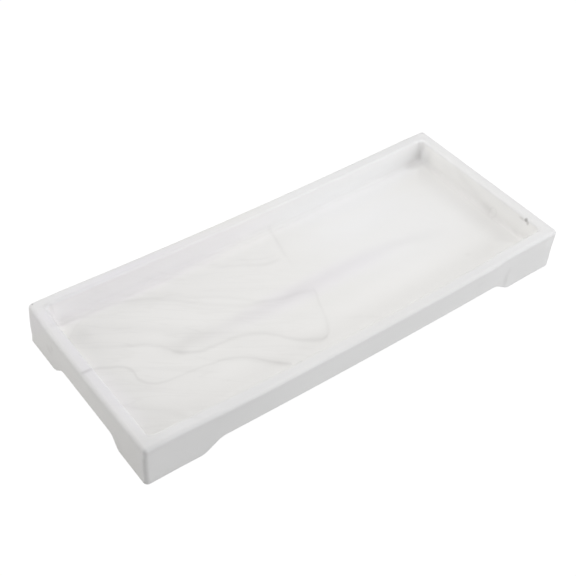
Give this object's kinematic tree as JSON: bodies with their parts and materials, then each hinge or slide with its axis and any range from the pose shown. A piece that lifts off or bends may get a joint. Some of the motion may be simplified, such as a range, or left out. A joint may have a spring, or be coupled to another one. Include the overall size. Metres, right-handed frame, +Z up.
{
  "type": "silicone vanity tray",
  "caption": "Shallow rectangular marbled silicone tray with a rimmed well, raised on corner feet with arched gaps along each side and non-slip pads under the feet.",
  "frame": {"origin": "middle of the footprint, on the surface that the pads stand on", "axes": "+X along the tray's length, +Y across its width, +Z up"},
  "size_m": [0.28, 0.1184, 0.0255],
  "materials": {
    "marbled_silicone": "matt moulded silicone, white with thin warm grey marble veins",
    "pad_rubber": "matt grey rubber"
  },
  "bodies": {
    "root": {"tray_body": "marbled_silicone", "non_slip_pad_front_left": "pad_rubber", "non_slip_pad_front_right": "pad_rubber", "non_slip_pad_back_left": "pad_rubber", "non_slip_pad_back_right": "pad_rubber"}
  },
  "joints": []
}
